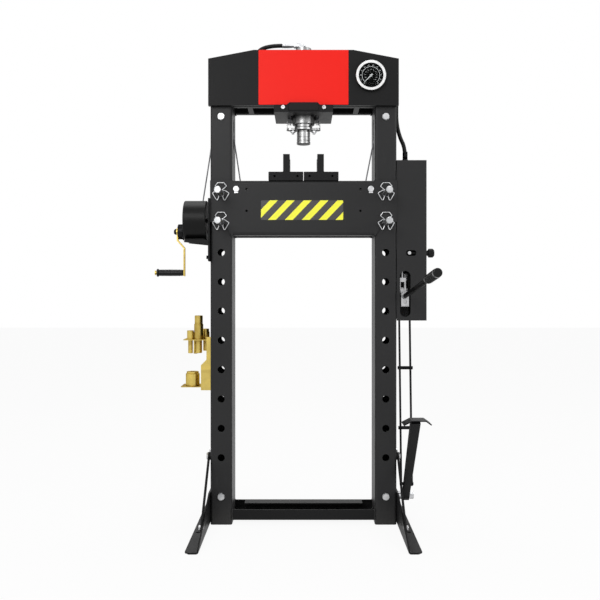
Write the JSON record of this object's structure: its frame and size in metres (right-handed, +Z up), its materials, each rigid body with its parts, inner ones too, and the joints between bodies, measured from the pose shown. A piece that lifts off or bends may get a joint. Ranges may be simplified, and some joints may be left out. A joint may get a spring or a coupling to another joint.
{
  "type": "hydraulic press",
  "caption": "Floor hydraulic press: drilled H-frame, sliding cylinder, bed on pins with cable winch, hand lever and foot pedal pump, pressure gauge and punch rack.",
  "frame": {"origin": "on the floor, in the middle of the rectangle of the four anchor holes of the feet", "axes": "+X to the right seen from the front, front towards -Y, +Z up"},
  "size_m": [1.0735, 1.181, 1.855],
  "materials": {
    "black_paint": "black powder coat, fine texture",
    "red_paint": "satin red paint",
    "bright_zinc": "bright zinc plate",
    "gold_zinc": "yellow zinc plate",
    "machined_steel": "turned and oiled steel",
    "spring_steel": "dark steel wire",
    "hose_rubber": "matt rubber",
    "black_plastic": "matt black",
    "dial_black": "matt black with white figures",
    "needle_white": "white paint",
    "clear_glass": "clear"
  },
  "bodies": {
    "frame": {"bed_back_beam": "black_paint", "bed_front_beam": "black_paint", "bed_tie_bolts": "bright_zinc", "cable_sheaves": "machined_steel", "foot_braces": "black_paint", "frame_bolts": "bright_zinc", "gauge_case": "black_plastic", "gauge_dial": "dial_black", "gauge_lens": "clear_glass", "head_back_beam": "black_paint", "head_front_beam": "black_paint", "head_front_cover": "black_paint", "left_foot": "black_paint", "left_upright": "black_paint", "lift_cable": "spring_steel", "lower_back_crossmember": "black_paint", "lower_front_crossmember": "black_paint", "pedal_axle": "bright_zinc", "press_punches": "gold_zinc", "pressure_hose": "hose_rubber", "pump_body": "black_paint", "pump_box": "black_paint", "red_front_panel": "red_paint", "right_foot": "black_paint", "right_upright": "black_paint", "tool_rack": "gold_zinc", "vee_blocks": "black_paint", "winch_bracket": "black_paint", "winch_cover": "black_paint"},
    "carriage": {"carriage_frame": "black_paint", "carriage_screws": "bright_zinc", "cylinder_barrel": "machined_steel", "gland_nut": "machined_steel", "hose_elbow": "bright_zinc", "hose_loop": "hose_rubber", "return_springs": "spring_steel"},
    "left_roller_pair": {"left_rollers": "machined_steel"},
    "right_roller_pair": {"right_rollers": "machined_steel"},
    "ram": {"ram_rod": "machined_steel", "ram_tip": "machined_steel", "spring_yoke": "bright_zinc", "yoke_bolts": "bright_zinc"},
    "left_upper_pin": {"left_upper_bed_pin": "bright_zinc"},
    "left_lower_pin": {"left_lower_bed_pin": "bright_zinc"},
    "right_upper_pin": {"right_upper_bed_pin": "bright_zinc"},
    "right_lower_pin": {"right_lower_bed_pin": "bright_zinc"},
    "needle": {"gauge_needle": "needle_white"},
    "drum": {"winch_drum": "bright_zinc", "wound_cable": "spring_steel"},
    "crank": {"pinion_shaft": "black_paint", "crank_arm": "gold_zinc"},
    "crank_handle": {"crank_grip": "black_plastic"},
    "pump_lever": {"lever_clevis": "bright_zinc", "lever_tube": "black_paint", "lever_grip": "black_plastic"},
    "hand_pump_plunger": {"hand_plunger": "bright_zinc"},
    "release_valve": {"release_rod": "black_plastic"},
    "pedal": {"foot_pedal": "black_paint"},
    "link_bars": {"pedal_links": "black_paint"},
    "foot_pump_plunger": {"foot_plunger": "bright_zinc"}
  },
  "joints": [
    {"name": "carriage_traverse", "type": "slide", "parent": "frame", "child": "carriage", "axis": [1, 0, 0], "range_m": [-0.106, 0.106]},
    {"name": "left_roller_spin", "type": "hinge", "parent": "carriage", "child": "left_roller_pair", "pos_m": [-0.076, 0, 1.6142], "axis": [0, 1, 0], "range_deg": [-360, 360]},
    {"name": "right_roller_spin", "type": "hinge", "parent": "carriage", "child": "right_roller_pair", "pos_m": [0.076, 0, 1.6142], "axis": [0, 1, 0], "range_deg": [-360, 360]},
    {"name": "ram_stroke", "type": "slide", "parent": "carriage", "child": "ram", "axis": [0, 0, -1], "range_m": [0, 0.114], "stiffness_N_per_m": 800, "springref_m": -0.08, "deforming": ["return_springs"]},
    {"name": "left_upper_pin_slide", "type": "slide", "parent": "frame", "child": "left_upper_pin", "axis": [0, -1, 0], "range_m": [0, 0.2]},
    {"name": "left_lower_pin_slide", "type": "slide", "parent": "frame", "child": "left_lower_pin", "axis": [0, -1, 0], "range_m": [0, 0.2]},
    {"name": "right_upper_pin_slide", "type": "slide", "parent": "frame", "child": "right_upper_pin", "axis": [0, -1, 0], "range_m": [0, 0.2]},
    {"name": "right_lower_pin_slide", "type": "slide", "parent": "frame", "child": "right_lower_pin", "axis": [0, -1, 0], "range_m": [0, 0.2]},
    {"name": "needle_turn", "type": "hinge", "parent": "frame", "child": "needle", "pos_m": [0.2535, -0.105, 1.699], "axis": [0, 1, 0], "range_deg": [0, 270]},
    {"name": "drum_turn", "type": "hinge", "parent": "frame", "child": "drum", "pos_m": [-0.41, -0.053, 1.1574], "axis": [1, 0, 0], "continuous": true},
    {"name": "crank_turn", "type": "hinge", "parent": "frame", "child": "crank", "pos_m": [-0.45, -0.0238, 1.11681], "axis": [1, 0, 0], "continuous": true},
    {"name": "crank_handle_spin", "type": "hinge", "parent": "crank", "child": "crank_handle", "pos_m": [-0.515, -0.0238, 0.95851], "axis": [1, 0, 0], "continuous": true},
    {"name": "pump_lever_swing", "type": "hinge", "parent": "frame", "child": "pump_lever", "pos_m": [0.3865, -0.004, 0.893], "axis": [-1, 0, 0], "range_deg": [-20, 40]},
    {"name": "hand_plunger_stroke", "type": "slide", "parent": "frame", "child": "hand_pump_plunger", "axis": [0, 0, 1], "range_m": [-0.012, 0.022]},
    {"name": "release_valve_pull", "type": "slide", "parent": "frame", "child": "release_valve", "axis": [1, 0, 0], "range_m": [0, 0.018]},
    {"name": "pedal_press", "type": "hinge", "parent": "frame", "child": "pedal", "pos_m": [0.3983, 0, 0.093], "axis": [1, 0, 0], "range_deg": [0, 25], "stiffness_Nm_per_rad": 30, "springref_deg": -28.65},
    {"name": "link_bars_swing", "type": "hinge", "parent": "pedal", "child": "link_bars", "pos_m": [0.3958, -0.0431, 0.14816], "axis": [1, 0, 0], "range_deg": [-27, 0]},
    {"name": "foot_plunger_stroke", "type": "slide", "parent": "frame", "child": "foot_pump_plunger", "axis": [0, 0, 1], "range_m": [-0.026, 0]}
  ],
  "couplings": [
    {"joint": "left_roller_spin", "follows": "carriage_traverse", "rad_per_m": 58.824},
    {"joint": "right_roller_spin", "follows": "carriage_traverse", "rad_per_m": 58.824},
    {"joint": "crank_turn", "follows": "drum_turn", "ratio": -3.1667},
    {"joint": "hand_plunger_stroke", "follows": "pump_lever_swing", "m_per_rad": 0.0303},
    {"joint": "link_bars_swing", "follows": "pedal_press", "ratio": -1.056},
    {"joint": "foot_plunger_stroke", "follows": "pedal_press", "m_per_rad": -0.056}
  ]
}
